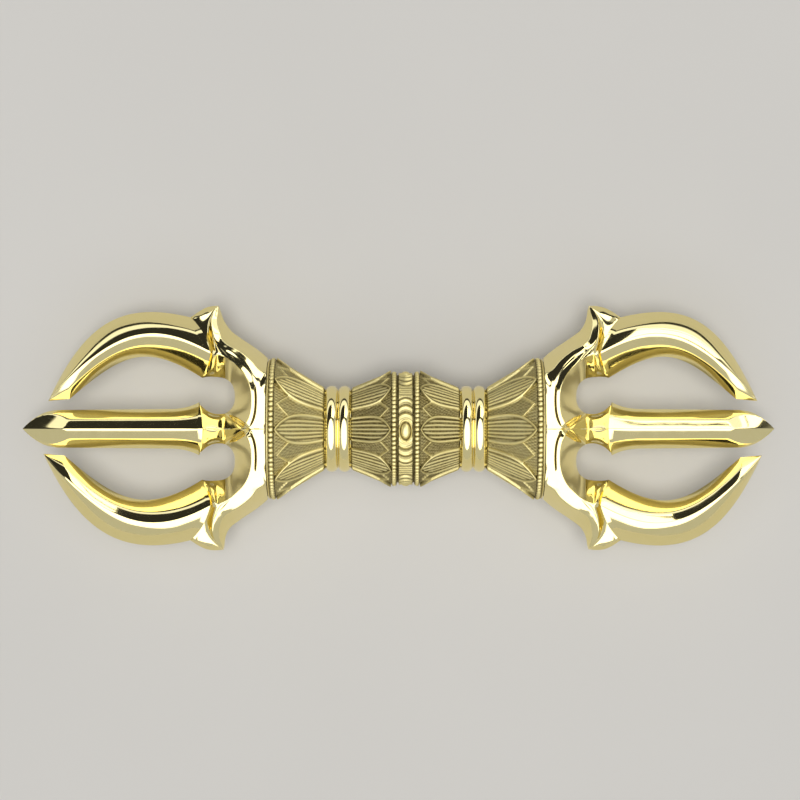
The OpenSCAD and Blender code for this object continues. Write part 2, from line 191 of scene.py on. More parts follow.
def satinBrass():
    # chased brass, worn bright on the high places and brown in the recesses
    p = satinLook
    material, tree, shader = newMaterial("satin_brass")
    place = addNode(tree, "ShaderNodeTexCoord").outputs["Object"]
    recess = addNode(tree, "ShaderNodeAttribute", attribute_name="recess").outputs["Fac"]
    grain = addNode(tree, "ShaderNodeTexNoise", {"Vector": place, "Scale": 1 / (p["grain"] * mm), "Detail": 4.0})
    cloud = addNode(tree, "ShaderNodeTexNoise", {
        "Vector": place, "Scale": 1 / (p["cloud"] * mm), "Detail": 5.0, "Roughness": 0.6})
    bright = addNode(tree, "ShaderNodeMix", {
        "Factor": cloud.outputs[0], 6: linear(p["dark"]), 7: linear(p["light"])}, data_type="RGBA")
    rubbed = addNode(tree, "ShaderNodeMapRange", {
        "Value": grain.outputs[0], 1: p["grainRange"][0], 2: p["grainRange"][1],
        3: p["patinaLeft"][0], 4: p["patinaLeft"][1]})
    patchy = addNode(tree, "ShaderNodeMath", {0: recess, 1: rubbed.outputs[0]}, operation="MULTIPLY")
    tint = addNode(tree, "ShaderNodeMix", {
        "Factor": patchy.outputs[0], 6: bright.outputs[2], 7: linear(p["patina"])}, data_type="RGBA")
    dull = addNode(tree, "ShaderNodeMapRange", {"Value": recess, 3: p["roughness"][0], 4: p["roughness"][1]})
    bump = addNode(tree, "ShaderNodeBump", {"Height": grain.outputs[0], "Distance": p["grainDepth"] * mm})
    finishMetal(tree, shader, tint, dull, bump)
    return material


polished = polishedBrass()
satin = satinBrass()
print("materials made")

faceX = 33.15  # rim face, where both heads begin; u runs outwards from it, v away from the axis


def atHead(u, v, z, side, up=1):
    return Vector((side * (faceX + u), up * v, z))


# Side blades
sideBlade = {
    "corner": Vector((15.9, 12.3)), "turn": 10.5, "baseLength": 14.8, "ridgeAt": 5.5, "rake": 0.56,
    "flatLength": 5.2, "flatRise": 0.5, "flatFrom": 0.88,
    "heights": [6.2, 5.8, 5.4, 5.1, 4.9, 4.7, 4.5, 4.15, 3.1, 0.1],
    # faces as (share of the way from ridge to edge, slope), at the base and farther out
    "innerBase": ((0, 0.58), (0.24, 0.6), (0.34, 1.08), (1, 1.25)),
    "inner": ((0, 0.58), (0.38, 0.62), (0.48, 1.12), (1, 1.35)),
    "outerBase": ((0, 0.3), (0.48, 0.55), (0.6, 1.0), (1, 1.6)),
    "outer": ((0, 0.3), (0.14, 0.5), (0.34, 0.78), (1, 1.7)),
    "fullFrom": 0.4,  # share of the length where the base has become the farther face
    # (degrees, length) of the handles at the base and at the tip
    "innerPull": ((32, 16), (139, 17)), "ridgePull": ((29, 17), (134, 23)), "outerPull": ((14, 18), (115, 20)),
    "ridgeRound": 0.2, "rows": 110, "columns": 22,
}
# where each hand-finished blade ends, by side and up or down
sideTips = {(-1, 1): (53.0, 6.7), (-1, -1): (54.2, 6.0), (1, 1): (51.7, 6.7), (1, -1): (52.8, 6.4)}


def onSeat(p, corner, turn, rake):
    # moves a point onto the two slanted faces of a blade's base
    along, ahead = heading(90 - turn), heading(-turn)
    flat = corner + along * (Vector((p[0], p[1])) - corner).dot(along) - ahead * (rake * abs(p[2]))
    return flat.x, flat.y, p[2]


def faceHeight(height, f, width, face, rounding):
    # height of a face at the share f of its width, from its slopes on the way down from the rounded ridge
    f = (math.hypot(f * width, rounding) - rounding) / (math.hypot(width, rounding) - rounding)
    fall = whole = 0
    for (a, s), (b, t) in zip(face, face[1:]):
        whole += (b - a) * (s + t) / 2
        if f > a:
            g = min(f, b) - a
            fall += g * (s + mix(s, t, g / (b - a))) / 2
    return height * (1 - fall / whole)


def blendFace(base, far, f):
    return [(mix(a, b, f), mix(s, t, f)) for (a, s), (b, t) in zip(base, far)]


def pulled(start, end, pulls, t):
    (a, m), (b, n) = pulls
    return bezier(start, start + heading(a) * m, end + heading(b) * n, end, t)


def sideCurves(b, tip, t):
    along, ahead = heading(90 - b["turn"]), heading(-b["turn"])
    outerStart = b["corner"] + along * b["baseLength"]
    ridgeStart = b["corner"] + along * b["ridgeAt"] - ahead * (b["rake"] * b["heights"][0])
    flatStart = tip + Vector((-b["flatLength"], b["flatRise"]))
    outer = pulled(outerStart, tip, b["outerPull"], t)
    ridge = pulled(ridgeStart, tip, b["ridgePull"], t)
    if t > b["flatFrom"]:
        inner = flatStart.lerp(tip, (t - b["flatFrom"]) / (1 - b["flatFrom"]))
    else:
        inner = pulled(b["corner"], flatStart, b["innerPull"], t / b["flatFrom"])
    return inner, ridge, outer


def buildSideBlade(name, node, side, up):
    b = sideBlade
    half = b["columns"]
    tip = Vector(sideTips[side, up])
    seat = b["corner"], b["turn"], b["rake"]
    lines = [sideCurves(b, tip, row / (b["rows"] - 1)) for row in range(b["rows"])]
    last = len(b["heights"]) - 1
    heights = [spline(b["heights"], row / (b["rows"] - 1) * last) for row in range(b["rows"])]

    def place(row, column):
        at = max(0, row - 1)
        inner, ridge, outer = lines[at]
        fuller = ease(0, b["fullFrom"], at / b["rows"])
        if column < half:
            edge, shape = inner, blendFace(b["innerBase"], b["inner"], fuller)
        else:
            edge, shape = outer, blendFace(b["outerBase"], b["outer"], fuller)
        f = closeUp(abs(column - half), half)
        p = ridge.lerp(edge, f)
        z = 0
        if row < b["rows"]:
            z = faceHeight(heights[at], f, (edge - ridge).length + 0.01, shape, b["ridgeRound"])
        point = onSeat((p.x, p.y, z), *seat) if at == 0 else (p.x, p.y, z)
        if row == 0:
            point = onSeat((point[0], point[1], 0), *seat)
        return atHead(*point, side, up)

    bm = sheet(b["rows"], 2 * half, place)
    mirrored(bm, "Z")
    finishPiece(bm, name, node, polished)


for side, word in ((-1, "left"), (1, "right")):
    buildSideBlade("upper_blade_" + word, word + "_upper_blade", side, 1)
    buildSideBlade("lower_blade_" + word, word + "_lower_blade", side, -1)
print("side blades made")

# Centre blades
centreBlade = {
    "seat": 16.6, "rake": 0.23, "baseWidth": 6.4, "baseHeight": 5.2,
    "width": 4.75, "height": 4.45, "slimmer": 0.94, "flare": 8, "flareCurve": 2.6,
    "pointWidth": 9, "pointCurve": 2.2, "pointFall": 0.42, "pointSlant": 0.75,
    "face": ((0, 0.55), (0.42, 0.57), (0.52, 1.15), (1, 1.38)), "ridgeRound": 0.18, "rows": 130, "columns": 24,
}
centreLengths = {-1: 42.6, 1: 39.2}  # the left one is longer


def buildCentreBlade(name, node, side):
    b = centreBlade
    length = centreLengths[side]
    half = b["columns"]

    def place(row, column):
        a = length * closeUp(max(0, row - 1), b["rows"] - 1)
        flare = max(0, 1 - a / b["flare"]) ** b["flareCurve"]
        slim = mix(1, b["slimmer"], max(0, a - b["flare"]) / (length - b["flare"]))
        narrow = 1 - max(0, 1 - (length - a) / b["pointWidth"]) ** b["pointCurve"]
        width = mix(b["width"] * slim, b["baseWidth"], flare) * narrow
        height = mix(b["height"] * slim, b["baseHeight"], flare)
        f = closeUp(abs(column - half), half)
        v = math.copysign(f * width, column - half)
        z = faceHeight(height, f, width + 0.01, b["face"], b["ridgeRound"])
        # the ground point: one flat facet on each side of the ridge
        z = min(z, b["pointFall"] * (length - a) * (1 - b["pointSlant"] * math.hypot(f, 0.03)))
        point = b["seat"] + a, v, max(0, z)
        if row < 2:
            point = onSeat(point, Vector((b["seat"], 0)), 0, b["rake"])
        if row == 0:
            point = b["seat"], v, 0
        return atHead(*point, side)

    bm = sheet(b["rows"], 2 * half, place)
    mirrored(bm, "Z")
    finishPiece(bm, name, node, polished, 30)


buildCentreBlade("centre_blade_left", "left_centre_blade", -1)
buildCentreBlade("centre_blade_right", "right_centre_blade", 1)
print("centre blades made")

# Crowns. Stations run from a side blade's base round the hole to the centre blade's base. Each line below has one
# point for each station up to the neck, as (u, v, z): the hole's edge, the lip of the hollow, the middle of the face
# between lip and cord, the two sides of the cord, the foot of the band beside it and the outer edge.
crown = {
    "hole": [
        (15.55, 12.36, 0), (14.83, 12.49, 0), (14.11, 12.53, 0), (13.38, 12.53, 0), (12.66, 12.49, 0),
        (11.94, 12.44, 0), (11.33, 12.34, 0), (10.8, 12.24, 0), (10.32, 12.08, 0), (9.79, 11.76, 0), (9.36, 11.45, 0),
        (8.9, 10.99, 0), (8.51, 10.32, 0), (8.25, 9.54, 0), (8.1, 8.75, 0), (8.05, 7.9, 0), (8.08, 7.06, 0),
        (8.25, 6.14, 0), (8.58, 5.32, 0), (9.11, 4.63, 0), (9.65, 4.14, 0), (10.18, 3.83, 0),
    ],
    "lip": [
        (13.39, 18.1, 5.7), (12.99, 18.02, 5.95), (12.57, 17.97, 6.15), (12.2, 17.95, 6.3), (11.79, 17.9, 6.4),
        (11.35, 17.8, 6.5), (10.87, 17.63, 6.6), (10.38, 17.44, 6.7), (9.9, 17.2, 6.8), (9.29, 16.84, 6.95),
        (8.69, 16.43, 7.1), (7.95, 15.86, 7.35), (6.86, 14.9, 7.75), (5.59, 13.61, 8.2), (4.66, 12.17, 8.6),
        (4, 10.51, 8.85), (3.61, 8.84, 9), (3.52, 6.94, 9.05), (3.63, 4.8, 9.05), (4.09, 2.83, 8.95),
        (4.9, 1.23, 8.6), (6.03, 0.27, 6.3),
    ],
    "front": [
        (15.51, 22.38, 2.7), (14.99, 22.67, 2.6), (14.46, 23.15, 2.6), (13.96, 23.5, 2.9), (13.45, 23.96, 3.9),
        (13.14, 23.46, 4.6), (12.72, 21.89, 5.1), (12.39, 20.69, 5.4), (11.76, 19.72, 5.75), (11.03, 18.88, 6.05),
        (10.05, 18.06, 6.4), (8.94, 17.25, 6.88), (7.31, 16.07, 7.25), (5.52, 14.38, 7.82), (4.33, 12.77, 8.28),
        (3.56, 10.98, 8.6), (3.21, 8.96, 8.88), (3.09, 6.94, 8.95), (3.22, 4.68, 8.96), (3.69, 2.62, 8.85),
        (4.53, 0.93, 8.47), (5.62, 0.14, 6.7),
    ],
    "cordIn": [
        (17.66, 26.49, 0.8), (16.54, 26.91, 1.2), (15.08, 27.43, 1.5), (13.31, 28.01, 1.6), (11.16, 29.42, 1.1),
        (12.27, 28.21, 2), (13.03, 26.5, 3.1), (13.2, 24.67, 4.1), (12.97, 22.73, 4.9), (12.39, 21.05, 5.4),
        (11.4, 19.7, 5.85), (9.93, 18.64, 6.4), (7.76, 17.25, 6.75), (5.45, 15.16, 7.45), (3.99, 13.37, 7.95),
        (3.13, 11.46, 8.35), (2.8, 9.08, 8.75), (2.67, 6.94, 8.85), (2.81, 4.56, 8.88), (3.3, 2.42, 8.75),
        (4.15, 0.63, 8.35), (5.2, 0, 7.1),
    ],
    "cordOut": [
        (17.66, 26.49, 0.8), (16.54, 26.91, 1.2), (15.08, 27.43, 1.5), (13.31, 28.01, 1.6), (11.11, 29.44, 1.1),
        (11.96, 28.14, 1.95), (12.75, 26.43, 3.05), (12.92, 24.62, 4.05), (12.67, 22.73, 4.85), (12.06, 21.17, 5.35),
        (11, 19.94, 5.8), (9.45, 19.16, 6.35), (7.28, 17.77, 6.7), (4.85, 15.57, 7.4), (3.4, 13.78, 7.85),
        (2.52, 11.7, 8.25), (2.31, 9.2, 8.45), (2.26, 6.94, 8.55), (2.4, 4.44, 8.58), (2.88, 2.18, 8.45),
        (3.74, 0.44, 8.15), (4.5, 0, 7.6),
    ],
    "foot": [
        (17.66, 26.49, 0.8), (16.54, 26.91, 1.2), (15.08, 27.43, 1.5), (13.31, 28.01, 1.6), (11.05, 29.5, 1),
        (11.27, 28.34, 1.62), (11.68, 26.39, 2.55), (11.64, 24.69, 3.45), (11.32, 23.11, 4.2), (10.95, 21.83, 4.77),
        (10.24, 20.86, 5.3), (8.65, 19.75, 5.93), (6.48, 18.59, 6.2), (3.94, 16.58, 6.8), (2.12, 14.45, 7.2),
        (0.7, 13.02, 7.45), (0.9, 10.4, 8.45), (0.9, 7.8, 8.65), (0.9, 5.1, 8.7), (1, 2.5, 8.55), (1.4, 0.3, 8.4),
        (3.6, 0, 8),
    ],
    "edge": [
        (18.49, 27.02, 0), (16.88, 28.11, 0), (14.95, 29.12, 0), (13.09, 29.56, 0), (11, 29.7, 0), (10.71, 28.4, 0),
        (10.51, 26.95, 0), (10.13, 25.63, 0), (9.52, 24.42, 0), (8.68, 23.41, 0), (7.23, 22.32, 0), (5.55, 21.16, 0),
        (3.38, 19.72, 0), (1.45, 18.27, 0), (0.05, 17, 0), (0.05, 13.8, 6.8), (0.05, 11, 8.25), (0.05, 8, 8.6),
        (0.05, 5.1, 8.7), (0.05, 2.4, 8.55), (0.05, 0, 8.3), (2.6, 0, 8.2),
    ],
    "neck": [  # the last stations, at the centre blade's base: the hole's edge, then u and z of the ridge
        ((10.73, 3.64), 10, 3.85), ((11.94, 3.52), 11.7, 3.65),
        ((13.38, 3.73), 13.1, 3.75), ((14.9, 4.48), 14.4, 4.25), ((16.3, 5.73), 15.5, 4.85),
    ],
    "barbAt": 4, "rimFrom": 14, "rimTo": 20, "rowsPerStation": 7,  # stations, and rows for each
    "wall": 18, "face": 12, "cord": 3, "band": 7, "flank": 14,  # columns of each strip
    "hollowFrom": (10, 15), "wallSwell": 0.82, "flankRound": 0.2, "seam": 0.05,
    "softenings": 2, "softFlank": 4, "crispRows": 4, "crispColumns": 3,  # the barb's tip stays crisp
    # rolls at the blades' bases: first and last station, rise
    "sideRoll": (0.3, 4.2, 0.3), "neckRoll": (22.0, 25.7, 0.35), "rollCurve": 1.2, "rollStart": 0.12,
    # how much the stations beside the barb's tip follow it
    "barbShares": ((-2, 0.2), (-1, 0.55), (0, 1), (1, 0.8), (2, 0.5), (3, 0.25)),
}
crownNames = "hole", "lip", "front", "cordIn", "cordOut", "foot", "edge"
# how far each barb's tip strays from the stations, by side and up or down
barbShifts = {(-1, 1): (0.9, 0.0), (-1, -1): (-0.3, -0.5), (1, 1): (0, 0), (1, -1): (-0.1, -0.6)}


def crownLines(shift):
    c = crown
    lines = [[Vector(point) for point in c[name]] for name in crownNames]
    for hole, u, z in c["neck"]:
        ridge = [(u, 0.05, z), (u, 0.03, z - 0.03)] + [(u, 0, z - 0.05)] * 4
        for line, point in zip(lines, [(*hole, 0)] + ridge):
            line.append(Vector(point))
    for line in lines[3:]:
        for k, share in c["barbShares"]:
            line[c["barbAt"] + k] += Vector((*shift, 0)) * share
    corners = [()] * 3 + [(c["barbAt"],)] * 3 + [(c["barbAt"], c["rimFrom"], c["rimTo"])]
    total = c["rowsPerStation"] * (len(lines[0]) - 1)
    return [[spline(line, i / c["rowsPerStation"], at) for line, at in zip(lines, corners)] for i in range(total + 1)]


def crownPoint(lines, s, column):
    c = crown
    hole, lip, front, cordIn, cordOut, foot, edge = lines
    if column <= c["wall"]:
        f = closeUp(c["wall"] - column, c["wall"])
        p = lip.lerp(hole, f)
        hollow = ease(*c["hollowFrom"], s) * ease(c["rimTo"] + 2, c["rimTo"], s)
        p.z = lip.z * max(0, 1 - f) ** mix(1, c["wallSwell"], hollow)
        for start, end, rise in (c["sideRoll"], c["neckRoll"]):
            if start < s < end:
                swell = rise * math.sin(math.pi * (s - start) / (end - start)) ** c["rollCurve"]
                away = (hole - lip).to_2d().normalized() * swell
                p += Vector((away.x, away.y, swell)) * math.sin(math.pi * min(1, f + c["rollStart"])) ** 0.5
        return p
    column -= c["wall"]
    if column <= c["face"]:
        f = column / c["face"]
        p = lip * (1 - f) * (1 - 2 * f) + front * 4 * f * (1 - f) + cordIn * f * (2 * f - 1)
        p.y = max(p.y, 0)
        return p
    column -= c["face"]
    if column <= c["cord"]:
        p = cordIn.lerp(cordOut, column / c["cord"])
    elif column <= c["cord"] + c["band"]:
        p = cordOut.lerp(foot, (column - c["cord"]) / c["band"])
    else:
        column -= c["cord"] + c["band"]
        f = closeUp(min(column, c["flank"]), c["flank"])
        p = foot.lerp(edge, f)
        p.z = mix(foot.z, edge.z, (1 - c["flankRound"]) * f + c["flankRound"] * f * f)
        if column > c["flank"]:
            p.z = 0
    p.x = max(p.x, c["seam"])
    p.y = max(p.y, 0)
    return p


def soften(points, fixed):
    # rounds the creases of a grid of points, leaving its border and the fixed places as they are
    out = [row[:] for row in points]
    for i in range(1, len(points) - 1):
        for k in range(1, len(points[i]) - 2):
            if not fixed(i, k):
                around = points[i - 1][k] + points[i + 1][k] + points[i][k - 1] + points[i][k + 1]
                out[i][k] = points[i][k] * 0.5 + around * 0.125
    return out


def buildCrown(name, node, side):
    c, b, m = crown, sideBlade, centreBlade
    upToCord = c["wall"] + c["face"]
    upToFlank = upToCord + c["cord"] + c["band"]
    columns = upToFlank + c["flank"] + 1
    tipRow = c["barbAt"] * c["rowsPerStation"]
    whole = bmesh.new()

    def crisp(row, column):
        nearTip = abs(row - tipRow) < c["crispRows"] and column > upToCord - c["crispColumns"]
        return nearTip or column > upToFlank + c["softFlank"]

    for up in (-1, 1):
        lines = crownLines(barbShifts[side, up])
        rows = len(lines) - 1
        points = [
            [crownPoint(line, i / c["rowsPerStation"], k) for k in range(columns + 1)]
            for i, line in enumerate(lines)
        ]
        for _ in range(c["softenings"]):
            points = soften(points, crisp)

        def place(row, column):
            at = min(max(row - 1, 0), rows)
            point = points[at][column]
            seat = (b["corner"], b["turn"], b["rake"])
            if at > 0:
                seat = (Vector((m["seat"], 0)), 0, m["rake"])
            if at in (0, rows):
                point = onSeat(point, *seat)
            if row in (0, rows + 2):
                point = onSeat((point[0], point[1], 0), *seat)
            return atHead(*point, side, up)

        bm = sheet(rows + 2, columns, place)
        inside = [f for f in bm.faces if all(abs(v.co.y) < 1e-4 for v in f.verts)]
        bmesh.ops.delete(bm, geom=inside, context="FACES")
        mirrored(bm, "Z")
        bmesh.ops.recalc_face_normals(bm, faces=bm.faces)
        half = bpy.data.meshes.new("half")
        bm.to_mesh(half)
        bm.free()
        whole.from_mesh(half)
        bpy.data.meshes.remove(half)
    finishPiece(whole, name, node, polished, 50)


buildCrown("crown_left", "left_crown", -1)
buildCrown("crown_right", "right_crown", 1)
print("crowns made")

bore = 7.0  # of every sleeve on the handle

# Lotus collars: eight petals with another row of tips between them
innerLotus = {
    "start": 12.95, "end": 3.45, "neck": 9.6, "wide": 13.5, "halfAngle": 17.5, "blunt": 4.5, "ribs": 7,
    "patina": (0.26, 1), "steps": 640, "rows": 80,
}
outerLotus = {
    "start": 19.45, "end": 31.05, "neck": 9.6, "wide": 16.6, "halfAngle": 18.5, "blunt": 3.0, "ribs": 8,
    "patina": (0, 0.84), "steps": 720, "rows": 90,
}
petal = {
    "every": 45, "sides": 0.9, "dome": 0.28, "edge": 0.12,
    "ribSpread": 0.55, "ribCurve": 0.8, "ribDepth": 0.32, "ribPatina": 1.1, "ribsFrom": (0.65, 0.95),
    "tipAngle": 44, "tipEnd": 0.97, "tipEdge": 0.1,
    "hatchWidth": 0.8, "hatchLean": 5, "hatchRows": 9,
    # level and patina, each with how much the hatching changes it
    "ground": (-0.5, 0.12, 0.75, 0.25), "tipGround": (-0.4, 0.08, 0.8, 0.2),
    # chased lines inside an outline: distance from it, width, height or patina
    "line": (0.4, 0.32, 0.34), "groove": (0.88, 0.18, 0.8), "tipLine": (0.42, 0.34, 0.5), "tipWear": (0.42, 0.42, 0.8),
    "seam": 0.03, "seamDepth": 0.3,
}


def petalRelief(p, t, angle, radius):
    # height over the collar's cone and depth of patina, t from the narrow end to the wide one
    q = petal
    perDegree = radius * math.pi / 180
    half = p["halfAngle"] * max(0, 1 - t ** p["blunt"]) ** q["sides"]
    across = (angle + q["every"] / 2) % q["every"] - q["every"] / 2
    inside = (half - abs(across)) * perDegree
    between = angle % q["every"] - q["every"] / 2
    insideTip = (q["tipAngle"] * (q["tipEnd"] - t) - abs(between)) * perDegree

    # ground with fine hatching, and the tip of a petal behind
    hatch = math.cos(math.tau * (across * perDegree / q["hatchWidth"] + t * q["hatchLean"]))
    hatch *= math.cos(math.tau * t * q["hatchRows"])
    level, cut, patina, cutPatina = q["ground"]
    height, recess = level + cut * hatch, patina - cutPatina * hatch
    level, cut, patina, cutPatina = q["tipGround"]
    second = ease(-q["tipEdge"], q["tipEdge"], insideTip)
    height = mix(height, level + cut * hatch + chased(insideTip, *q["tipLine"]), second)
    recess = mix(recess, patina - cutPatina * hatch - chased(insideTip, *q["tipWear"]), second)

    # the petal: domed and ribbed inside a raised outline
    spread = mix(p["halfAngle"], half, q["ribSpread"])
    rib = (0.5 + 0.5 * math.cos(math.pi * p["ribs"] * across / max(spread, 0.5))) ** q["ribCurve"]
    dome = q["dome"] * (1 - min(1, abs(across) / p["halfAngle"]) ** 2)
    ribbed = ease(*q["ribsFrom"], inside)
    raised = dome + q["ribDepth"] * (rib - 1) * ribbed + chased(inside, *q["line"])
    first = ease(-q["edge"], q["edge"], inside)
    height = mix(height, raised, first)
    recess = mix(recess, q["ribPatina"] * (1 - rib) * ribbed + chased(inside, *q["groove"]), first)
    seam = 1 - ease(0.0, q["seam"], t)
    return height - q["seamDepth"] * seam, max(mix(*p["patina"], min(1, recess)), seam)


def buildLotus(name, node, side, p):
    shares = [k / p["rows"] for k in range(p["rows"] + 1)]
    profile = [(side * mix(p["start"], p["end"], t), mix(p["neck"], p["wide"], t)) for t in shares]
    profile += [(side * p["end"], bore), (side * p["start"], bore)]

    def relief(x, angle, radius):
        if radius == bore:
            return 0, 1
        t = (side * x - p["start"]) / (p["end"] - p["start"])
        return petalRelief(p, min(1, max(0, t)), math.degrees(angle), radius)

    finishPiece(turned(profile, p["steps"], relief), name, node, satin, 70)


for side, word in ((-1, "left"), (1, "right")):
    buildLotus("inner_lotus_" + word, word + "_inner_lotus", side, innerLotus)
    buildLotus("outer_lotus_" + word, word + "_outer_lotus", side, outerLotus)
print("lotus collars made")

# Beaded rims: a row of beads, and on the outer rims a plain strip beside it
innerRim = {
    "start": 2.05, "end": 3.45, "radius": 13.8, "beadWidth": 1.3, "beads": 76, "rise": 0.6, "strip": None,
}
outerRim = {
    "start": 31.05, "end": 33.15, "radius": 17.07, "beadWidth": 1.35, "beads": 84, "rise": 0.65,
    "strip": {
        "gap": 0.08, "groove": 0.26, "below": 0.25,
        "nearRound": ((0.02, 0.12), (0.15, 0)), "farRound": ((0.12, 0), (0.02, 0.15)),  # inwards, down
    },
}
bead = {"across": 8, "along": 6, "edge": 0.05, "seam": 0.2, "closeness": 0.97, "patina": (0.4, 0.85)}


def buildBeadRim(name, node, side, p):
    middle = p["start"] + bead["edge"] + p["beadWidth"] / 2
    ground = p["radius"] - p["rise"]
    low = ground - bead["seam"]
    shares = [closeUp(k, bead["across"]) - 0.5 for k in range(bead["across"] + 1)]
    profile = [(p["start"], low)]
    profile += [(middle + p["beadWidth"] * share, ground) for share in shares]
    if p["strip"]:
        # plain strip with rounded edges, and a dark groove between it and the crown
        strip = p["strip"]
        near, far = profile[-1][0] + strip["gap"], p["end"] - strip["groove"]
        top = p["radius"] - strip["below"]
        profile += [(near, ground)] + [(near + x, top - down) for x, down in strip["nearRound"]]
        profile += [(far - x, top - down) for x, down in strip["farRound"]] + [(far, low)]
    profile += [(p["end"], low), (p["end"], bore), (p["start"], bore)]

    def relief(x, angle, radius):
        off = (side * x - middle) / (p["beadWidth"] / 2)
        if radius != ground or abs(off) > 1.001:
            return 0, 1 if radius < ground else 0
        turn = angle / math.tau * p["beads"]
        swing = 2 * (turn - round(turn))
        dome = math.sqrt(max(0, 1 - off ** 2)) * math.sqrt(max(0, 1 - bead["closeness"] * swing ** 2))
        return p["rise"] * dome, 1 - ease(*bead["patina"], dome)

    bm = turned([(side * x, r) for x, r in profile], p["beads"] * bead["along"], relief)
    finishPiece(bm, name, node, satin, 60)


for side, word in ((-1, "left"), (1, "right")):
    buildBeadRim("inner_bead_rim_" + word, word + "_inner_bead_rim", side, innerRim)
    buildBeadRim("outer_bead_rim_" + word, word + "_outer_bead_rim", side, outerRim)
print("beaded rims made")

# Waist rings: two round rolls that meet in a narrow groove, and a flat at both ends
waistRing = {
    "start": 12.95, "end": 19.45, "flatRadius": 9.8, "rollRadius": 10.4, "rollAt": 1.55, "roll": (1.5, 1.2),
    "flatFrom": 1.1, "endFall": 0.62, "seam": 0.15, "columns": 130, "steps": 192,
}


def buildWaistRing(name, node, side):
    p = waistRing
    middle = (p["start"] + p["end"]) / 2

    def radiusAt(x):
        off = abs(x - middle)
        wide, high = p["roll"]
        best = p["rollRadius"] - high
        if off > p["rollAt"]:
            # the flat, which falls away a little at the end
            best = p["flatRadius"] - p["endFall"] * max(0, off - p["rollAt"] - p["flatFrom"])
        if abs(off - p["rollAt"]) < wide:
            best = max(best, p["rollRadius"] - high + high * math.sqrt(1 - ((off - p["rollAt"]) / wide) ** 2))
        return best

    stations = [mix(p["start"], p["end"], k / p["columns"]) for k in range(p["columns"] + 1)]
    profile = [(x, radiusAt(x)) for x in stations]
    for end in (0, -1):
        x, radius = profile[end]
        profile[end] = x, radius - p["seam"]
    profile += [(p["end"], bore), (p["start"], bore)]
    bm = turned([(side * x, r) for x, r in profile], p["steps"])
    finishPiece(bm, name, node, polished, 35)


buildWaistRing("waist_ring_left", "left_waist_ring", -1)
buildWaistRing("waist_ring_right", "right_waist_ring", 1)
print("waist rings made")

# Centre band with four eye bosses, nested crescents beside each and bars between them
band = {
    "half": 2.05, "radius": 13.3, "strip": 1.65, "stripEdge": (0.06, 0.1), "seamDepth": 0.4,
    "tilt": -1.7, "steps": 960, "columns": 44,
}
eye = {
    "every": 90, "ring": (1.62, 2.75), "boss": (1.1, 1.85), "bossRise": 0.75, "floor": -0.22, "patina": 0.1,
    "ringEdge": (0.98, 1.12), "bossFoot": (0.92, 1.08), "hollowTo": (0.78, 0.9),  # shares of ring and boss
    "crescents": (3.9, 5.8, 7.75), "bow": 0.28,
    "barsFrom": 9.5, "barAt": 10.45, "barEvery": 0.62, "barMiddle": 0.7, "barRise": 0.15, "barPatina": 0.6,
    # chased lines: where, width, height or patina
    "ringLine": (0.95, 0.11, 0.42), "crescent": (0, 0.3, 0.3), "groove": (0.75, 0.25, 0.2),
    "groovePatina": (0.75, 0.25, 0.85), "footPatina": (-0.75, 0.2, 0.5),
    "endLine": (9.3, 0.14, 0.2), "endPatina": (9.3, 0.16, 0.8),
}


def eyeRelief(x, arc):
    # arc is the distance round the band from the middle of an eye
    side = abs(arc)
    ring = math.hypot(x / eye["ring"][0], arc / eye["ring"][1])
    boss = math.hypot(x / eye["boss"][0], arc / eye["boss"][1])
    height, recess = 0.0, eye["patina"]
    for at in eye["crescents"]:
        line = side - at + eye["bow"] * x * x
        height += chased(line, *eye["crescent"]) - chased(line, *eye["groove"])
        recess += chased(line, *eye["groovePatina"]) + chased(line, *eye["footPatina"])
    height -= chased(side, *eye["endLine"])
    recess += chased(side, *eye["endPatina"])
    if side > eye["barsFrom"]:
        bar = 0.5 + 0.5 * math.cos(math.tau * (side - eye["barAt"]) / eye["barEvery"])
        height += eye["barRise"] * (bar - eye["barMiddle"])
        recess += eye["barPatina"] * (1 - bar)
    within = 1 - ease(*eye["ringEdge"], ring)
    inside = eye["floor"] + chased(ring, *eye["ringLine"]) + eye["bossRise"] * math.sqrt(max(0, 1 - boss * boss))
    hollow = ease(*eye["bossFoot"], boss) * (1 - ease(*eye["hollowTo"], ring))
    height = mix(height, inside, within)
    recess = mix(recess, hollow, within)
    inner, outer = band["stripEdge"]
    edge = ease(band["strip"] - inner, band["strip"] + outer, abs(x))
    return mix(height, -band["seamDepth"], edge), min(1, mix(recess, 1, edge))


def buildBand():
    p = band
    profile = [(mix(-p["half"], p["half"], k / p["columns"]), p["radius"]) for k in range(p["columns"] + 1)]
    profile += [(p["half"], bore), (-p["half"], bore)]

    def relief(x, angle, radius):
        if radius == bore:
            return 0, 1
        offEye = (math.degrees(angle) - p["tilt"] + eye["every"] / 2) % eye["every"] - eye["every"] / 2
        return eyeRelief(x, math.radians(offEye) * p["radius"])

    bm = turned(profile, p["steps"], relief)
    finishPiece(bm, "centre_band_chased", "centre_band", satin, 70)


buildBand()
print("centre band made")

# Pieces that the handle hides keep their modelled shape and take the polished finish
for name in ("core_rod", "left_lock_pin", "right_lock_pin"):
    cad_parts[name].data.materials.clear()
    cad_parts[name].data.materials.append(polished)

